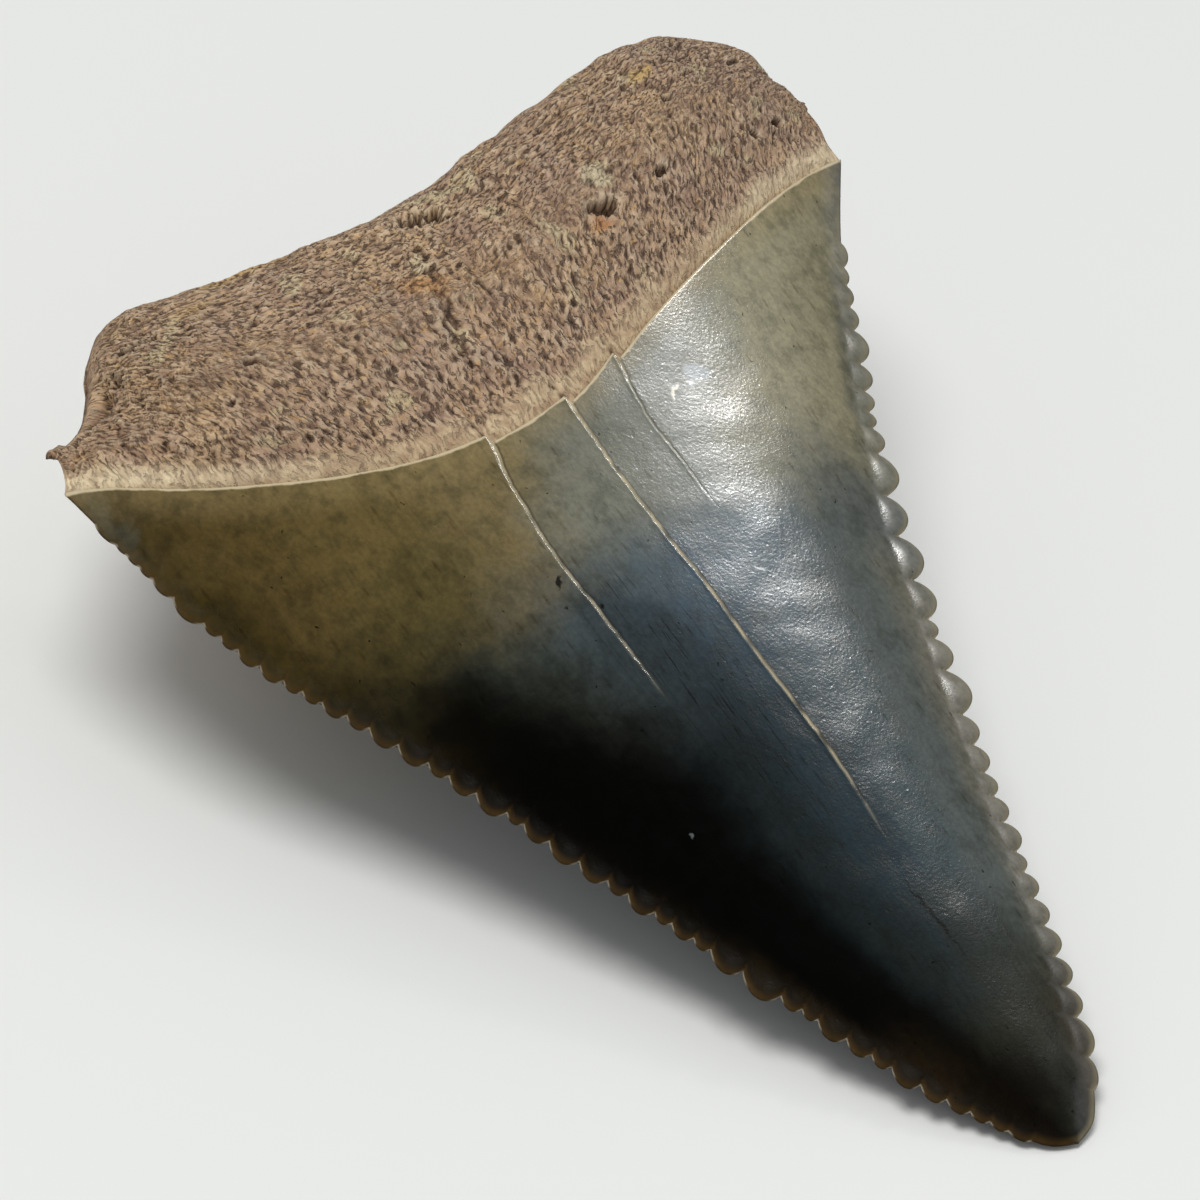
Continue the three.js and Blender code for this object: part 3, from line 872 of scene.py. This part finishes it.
BLEACHED_SIDE = paint(240, 222, 186)
# Brown of the pores, partly their own colour and partly painted shade, and the painted shade of the
# recesses
PORE_BROWN_AND_SHADE, RECESS_SHADE_BROWN = paint(74, 53, 40), paint(58, 40, 28)


def colour_row(tree, value, stops):
    """A colour that changes in steps with a value between -1 and 1"""
    node = add(tree, "ShaderNodeValToRGB", {"Fac": ramp(tree, value, -1, 1, kind="LINEAR")})
    node.color_ramp.interpolation = "EASE"
    parts = node.color_ramp.elements
    while len(parts) < len(stops):
        parts.new(0.5)
    for part, (at, screen) in zip(parts, stops):
        part.position = (at + 1) / 2
        part.color = paint(*screen)
    return node.outputs[0]


def lay_patches(tree, place, colour, patches):
    """Soft or hard ovals of colour, one over the other"""
    for screen, centre, half, turn, soft, strength in patches:
        mask = use(tree, patch_group, Place=place, Centre=(*centre, 0), Half_Size=(*half, 1000),
                   Turn=math.radians(turn), Softness=soft)
        colour = blend_colour(tree, product(tree, mask, strength), colour, paint(*screen))
    return colour


def enamel_texture(tree, place, chipped, colour):
    """Streaks, scratches, dashes, clouds and dots over the colour; also gives the clouds"""
    streaks = mottle(tree, place, (4.5, 0.22, 1), 4)
    colour = tinted(tree, ramp(tree, streaks, 0, 0.4, 0.2, 0), colour, (0.4, 0.38, 0.33))
    scratched = use(tree, patch_group, Place=place, Centre=(-2.6, 21, 0), Half_Size=(2.2, 6, 1000),
                    Turn=-0.08, Softness=0.6)
    scratches = mottle(tree, place, (14, 0.5, 1), 2, 0.6, 0.68)
    dark_scratches = product(tree, product(tree, scratched, scratches), 0.7)
    colour = tinted(tree, dark_scratches, colour, (0.12, 0.1, 0.08))
    dashes = specks(tree, place, (3.4, 0.8, 1), 0.28, 0.35)
    colour = tinted(tree, product(tree, dashes, 0.4), colour, (0.4, 0.3, 0.2))
    cloud = mottle(tree, place, (1.6, 1.2, 1), 8)
    colour = tinted(tree, ramp(tree, cloud, 0.25, 1, 0, 0.75), colour, (0.5, 0.52, 0.48))
    fine = mottle(tree, place, (6, 5, 1), 5)
    colour = tinted(tree, ramp(tree, fine, 0, 1, 0, 0.7), colour, (1.4, 1.4, 1.36))
    dots = specks(tree, chipped, (1.9, 1.5, 1), 0.11, 0.5)
    colour = tinted(tree, product(tree, dots, 0.8), colour, (0.1, 0.08, 0.06))
    return colour, cloud


def enamel_margins(tree, place, colour, from_rim):
    """Clear enamel along the cutting edges, painted shade along the outlines of the beads, a painted
    glint beside their notches and the pale rim
    """
    from_edge, notch = mark(tree, "from_edge"), mark(tree, "notch")
    rightward = ramp(tree, mark(tree, "across"), -0.5, 0.6)
    clear = blend_colour(tree, rightward, AMBER, PALE_TAN)
    uneven = mottle(tree, place, (1.1, 1.1, 1), 3)
    width = calc(tree, "MULTIPLY_ADD", rightward, -0.1, 0.45)
    thin = product(tree, ramp(tree, from_edge, 0.04, width, 1, 0),
                   ramp(tree, from_rim, 0.5, 3.5, 0.2, 1))
    thin = product(tree, calc(tree, "MULTIPLY_ADD", rightward, 0.1, 0.6), thin)
    thin = product(tree, thin, ramp(tree, uneven, 0, 1, 0.7, 1.2))
    colour = blend_colour(tree, thin, colour, clear)
    # Painted shade: a thin dark line along the bead outlines, faint at the notches
    outline = product(tree, ramp(tree, from_edge, 0.01, 0.08, 1, 0),
                      ramp(tree, notch, 0.3, 0.7, 0.6, 0.1))
    colour = tinted(tree, outline, colour, (0.3, 0.26, 0.2))
    # Painted glint: a pale line along the outline beside the notches
    notch_glint = product(tree, ramp(tree, from_edge, 0.02, 0.09, 0.5, 0), ramp(tree, notch, 0.15, 0.5))
    colour = blend_colour(tree, notch_glint, colour, BEAD_FRINGE_GLINT)
    wavy_rim = calc(tree, "MULTIPLY_ADD", uneven, -0.12, from_rim)
    return blend_colour(tree, ramp(tree, wavy_rim, -0.03, 0.08, 0.85, 0), colour, RIM_CREAM)


def enamel_colour(tree, place):
    """Rows of colours with patches and texture, then chips, edges, rim and cracks"""
    chipped = wandered(tree, place, 2.6, 0.5)
    bent = wandered(tree, place, 0.25, 3.6)
    bent = wandered(tree, bent, 1.1, 1.8)
    split = add(tree, "ShaderNodeSeparateXYZ", {"Vector": bent})
    straight = add(tree, "ShaderNodeSeparateXYZ", {"Vector": place})
    sideways = calc(tree, "SUBTRACT", split.outputs["X"], straight.outputs["X"])
    across = calc(tree, "MULTIPLY_ADD", sideways, 0.07, mark(tree, "across"))
    colour = colour_row(tree, across, ENAMEL_ROWS[0]["stops"])
    for row in ENAMEL_ROWS[1:]:
        share = ramp(tree, split.outputs["Y"], row["from"], row["to"])
        colour = blend_colour(tree, share, colour, colour_row(tree, across, row["stops"]))
    colour = lay_patches(tree, bent, colour, ENAMEL_PATCHES)
    from_rim = mark(tree, "from_rim")
    near_rim = product(tree, ramp(tree, from_rim, 0.1, 2.4, 1, 0), 0.4)
    colour = blend_colour(tree, near_rim, colour, RIM_TAN)
    colour, cloud = enamel_texture(tree, place, chipped, colour)
    colour = lay_patches(tree, chipped, colour, ENAMEL_CHIPS)
    colour = enamel_margins(tree, place, colour, from_rim)
    for name, share, tint in CRACK_TINTS:
        colour = blend_colour(tree, product(tree, mark(tree, name), share), colour, paint(*tint))
    return colour, cloud


def new_material(name):
    """A fresh material, its nodes and its surface shader"""
    material = bpy.data.materials.new(name)
    material.use_nodes = True
    return material, material.node_tree, material.node_tree.nodes["Principled BSDF"]


def emboss(tree, shader, height):
    """Fine relief on the surface, its height in mm"""
    relief = add(tree, "ShaderNodeBump", {"Height": height, "Strength": 1.0, "Distance": MM})
    tree.links.new(relief.outputs[0], shader.inputs["Normal"])


def enamel_material():
    material, tree, shader = new_material("fossil enamel")
    place = use(tree, place_group)
    colour, cloud = enamel_colour(tree, place)
    tree.links.new(colour, shader.inputs["Base Color"])
    pits = mottle(tree, place, (9, 9, 9), 2)
    waves = mottle(tree, place, (2.6, 2, 2.6), 2)
    dents = specks(tree, place, (2.6, 2.1, 1), 0.22, 0.3)
    height = calc(tree, "ADD", product(tree, pits, 0.0024), product(tree, waves, 0.0022))
    emboss(tree, shader, calc(tree, "MULTIPLY_ADD", dents, -0.002, height))
    dullest = ramp(tree, mark(tree, "across"), -0.2, 0.6, 0.1, 0.42)
    dull = product(tree, ramp(tree, mark(tree, "from_edge"), 0.4, 1.1, 1, 0), dullest)
    rough = calc(tree, "ADD", dull, ramp(tree, cloud, 0, 1, 0.17, 0.24))
    tree.links.new(rough, shader.inputs["Roughness"])
    shader.inputs["IOR"].default_value = ENAMEL_IOR
    return material


def bone_colour(tree, place, bone, porous):
    """Clouds, flecks, flakes and ridges of the bone, and its bleached band beside the enamel"""
    cloud = mottle(tree, place, (0.35, 0.35, 0.35), 5, 0.35, 0.65)
    colour = blend_colour(tree, cloud, BONE_LIGHT, BONE_GREY)
    tan = mottle(tree, place, (1.3, 1.7, 1.5), 6, 0.4, 0.6)
    colour = blend_colour(tree, ramp(tree, tan, 0, 1, 0, 0.6), colour, BONE_TAN)
    flecks = mottle(tree, bone, (2.2, 3.4, 1), 3, 0.58, 0.66)
    flecks = product(tree, flecks, product(tree, porous, 0.7))
    colour = blend_colour(tree, flecks, colour, FLECK_TAN)
    colour = blend_colour(tree, product(tree, mark(tree, "flake"), 0.7), colour, FLAKE_CREAM)
    colour = blend_colour(tree, product(tree, mark(tree, "raised"), 0.55), colour, RIDGE_CREAM)
    pale = blend_colour(tree, tan, BLEACHED, BLEACHED_DARK)
    sideways = ramp(tree, calc(tree, "ABSOLUTE", mark(tree, "across")), 0.35, 0.9, 0, 0.8)
    pale = blend_colour(tree, sideways, pale, BLEACHED_SIDE)
    bleached = product(tree, ramp(tree, porous, 0, 0.75, 1, 0), ramp(tree, tan, 0, 1, 0.95, 0.7))
    colour = blend_colour(tree, bleached, colour, pale)
    return lay_patches(tree, wandered(tree, place, 1.4, 0.8), colour, BONE_PATCHES)


def root_material():
    material, tree, shader = new_material("porous fossil bone")
    along_bone = {"X": mark(tree, "bone_u"), "Y": mark(tree, "bone_v")}
    bone = add(tree, "ShaderNodeCombineXYZ", along_bone).outputs[0]
    bone = wandered(tree, bone, 1.2, 0.7)
    bone = wandered(tree, bone, 4.0, 0.16)
    porous = mark(tree, "porous")
    colour = bone_colour(tree, use(tree, place_group), bone, porous)
    fine = mottle(tree, bone, (9, 2, 1), 6)
    colour = tinted(tree, ramp(tree, fine, 0.1, 0.9, 0.55, 0), colour, (0.55, 0.48, 0.42))
    slits = mottle(tree, bone, (7.5, 2.3, 1), 3, 0.38, 0.48)
    bits = mottle(tree, bone, (5.5, 8, 1), 3, 0.38, 0.48)
    level = ramp(tree, mark(tree, "out"), 0.35, 0.7)
    shut = calc(tree, "ADD", product(tree, slits, calc(tree, "SUBTRACT", 1, level)),
                product(tree, bits, level))
    pored = product(tree, calc(tree, "SUBTRACT", 1, shut), ramp(tree, porous, 0, 0.7, 0.4, 1))
    # Pores: partly their own dark brown, partly painted shade inside them
    colour = blend_colour(tree, product(tree, pored, 0.75), colour, PORE_BROWN_AND_SHADE)
    # Painted shade in the recesses and fissures of the bone
    colour = blend_colour(tree, product(tree, mark(tree, "deep"), 0.85), colour, RECESS_SHADE_BROWN)
    tree.links.new(colour, shader.inputs["Base Color"])
    small = mottle(tree, bone, (7, 5, 1), 6)
    height = product(tree, small, calc(tree, "MULTIPLY_ADD", porous, 0.03, 0.012))
    emboss(tree, shader, calc(tree, "MULTIPLY_ADD", pored, -0.07, height))
    tree.links.new(ramp(tree, fine, 0, 1, 0.65, 0.95), shader.inputs["Roughness"])
    return material


def floor_material():
    material, _, shader = new_material("pale floor")
    shader.inputs["Base Color"].default_value = paint(234, 235, 232)
    shader.inputs["Roughness"].default_value = 0.6
    return material


tooth_piece("tooth_crown", [crown_sheet(True), crown_sheet(False)], CROWN_CORE,
            enamel_material())
tooth_piece("tooth_root", [root_sheet(True), root_sheet(False)], ROOT_CORE,
            root_material())

# Floor
FLOOR_RADIUS = 2.5
floor_mesh = bmesh.new()
bmesh.ops.create_circle(floor_mesh, cap_ends=True, segments=96, radius=FLOOR_RADIUS)
floor_data = bpy.data.meshes.new("floor")
floor_mesh.to_mesh(floor_data)
floor_mesh.free()
floor = bpy.data.objects.new("floor", floor_data)
bpy.context.scene.collection.objects.link(floor)
floor.data.materials.append(floor_material())

# Light: a small one that is only seen mirrored in the enamel, a broad one above and a soft surround
LOOK_AT = Vector((-1.797, 4.016, 5.3)) * MM


def area_light(name, direction, distance, size, power, colour, mirrored):
    """A light that is seen either mirrored only, or in the soft light and shadow only"""
    data = bpy.data.lights.new(name, "AREA")
    data.shape = "ELLIPSE"
    data.size, data.size_y = size
    data.energy = power
    data.color = colour
    light = bpy.data.objects.new(name, data)
    light.location = LOOK_AT + Vector(direction).normalized() * distance
    light.rotation_euler = Vector(direction).to_track_quat("Z", "Y").to_euler()
    light.visible_glossy, light.visible_diffuse = mirrored, not mirrored
    bpy.context.scene.collection.objects.link(light)


area_light("key light", direction=(0.7, 0.15, 0.735), distance=0.3, size=(0.034, 0.06), power=0.34,
           colour=(1, 0.985, 0.96), mirrored=True)
area_light("broad light", direction=(-0.28, 0.1, 0.95), distance=0.6, size=(0.34, 0.34), power=2.3,
           colour=(1, 0.995, 0.985), mirrored=False)

# The surround: even and soft, and dim where the enamel would mirror it
SKY_LOW, SKY_HIGH = (0.5, 0.515, 0.53, 1), (0.42, 0.43, 0.44, 1)
MIRRORED_LOW, MIRRORED_HIGH = (0.09, 0.095, 0.1, 1), (0.014, 0.0145, 0.015, 1)
world = bpy.data.worlds.new("studio")
world.use_nodes = True
sky = world.node_tree
sky_place = add(sky, "ShaderNodeTexCoord").outputs["Generated"]
sky_height = add(sky, "ShaderNodeSeparateXYZ", {"Vector": sky_place}).outputs["Z"]
sky_shade = blend_colour(sky, ramp(sky, sky_height, 0, 0.9), SKY_LOW, SKY_HIGH)
mirrored_shade = blend_colour(sky, ramp(sky, sky_height, 0, 0.5), MIRRORED_LOW, MIRRORED_HIGH)
glossy_ray = add(sky, "ShaderNodeLightPath").outputs["Is Glossy Ray"]
sky_shade = blend_colour(sky, glossy_ray, sky_shade, mirrored_shade)
sky.links.new(sky_shade, sky.nodes["Background"].inputs["Color"])
bpy.context.scene.world = world

# Camera
CAMERA_AWAY = 0.25
CAMERA_LENS, CAMERA_SENSOR = 211.74, 36
CAMERA_AZIMUTH, CAMERA_RISE, CAMERA_ROLL = math.radians(-48.44), math.radians(37), math.radians(11.6)
away = Vector((math.sin(CAMERA_AZIMUTH) * math.cos(CAMERA_RISE),
               -math.cos(CAMERA_AZIMUTH) * math.cos(CAMERA_RISE), math.sin(CAMERA_RISE)))
right = Vector((0, 0, 1)).cross(away).normalized()
up = away.cross(right)
view_x = math.cos(CAMERA_ROLL) * right + math.sin(CAMERA_ROLL) * up
view_y = -math.sin(CAMERA_ROLL) * right + math.cos(CAMERA_ROLL) * up
camera_data = bpy.data.cameras.new("camera")
camera_data.lens = CAMERA_LENS
camera_data.sensor_width = CAMERA_SENSOR
camera = bpy.data.objects.new("camera", camera_data)
camera.matrix_world = Matrix.Translation(LOOK_AT + away * CAMERA_AWAY) @ Matrix(
    (view_x, view_y, away)).transposed().to_4x4()
bpy.context.scene.collection.objects.link(camera)
bpy.context.scene.camera = camera
bpy.context.scene.view_settings.view_transform = "Standard"
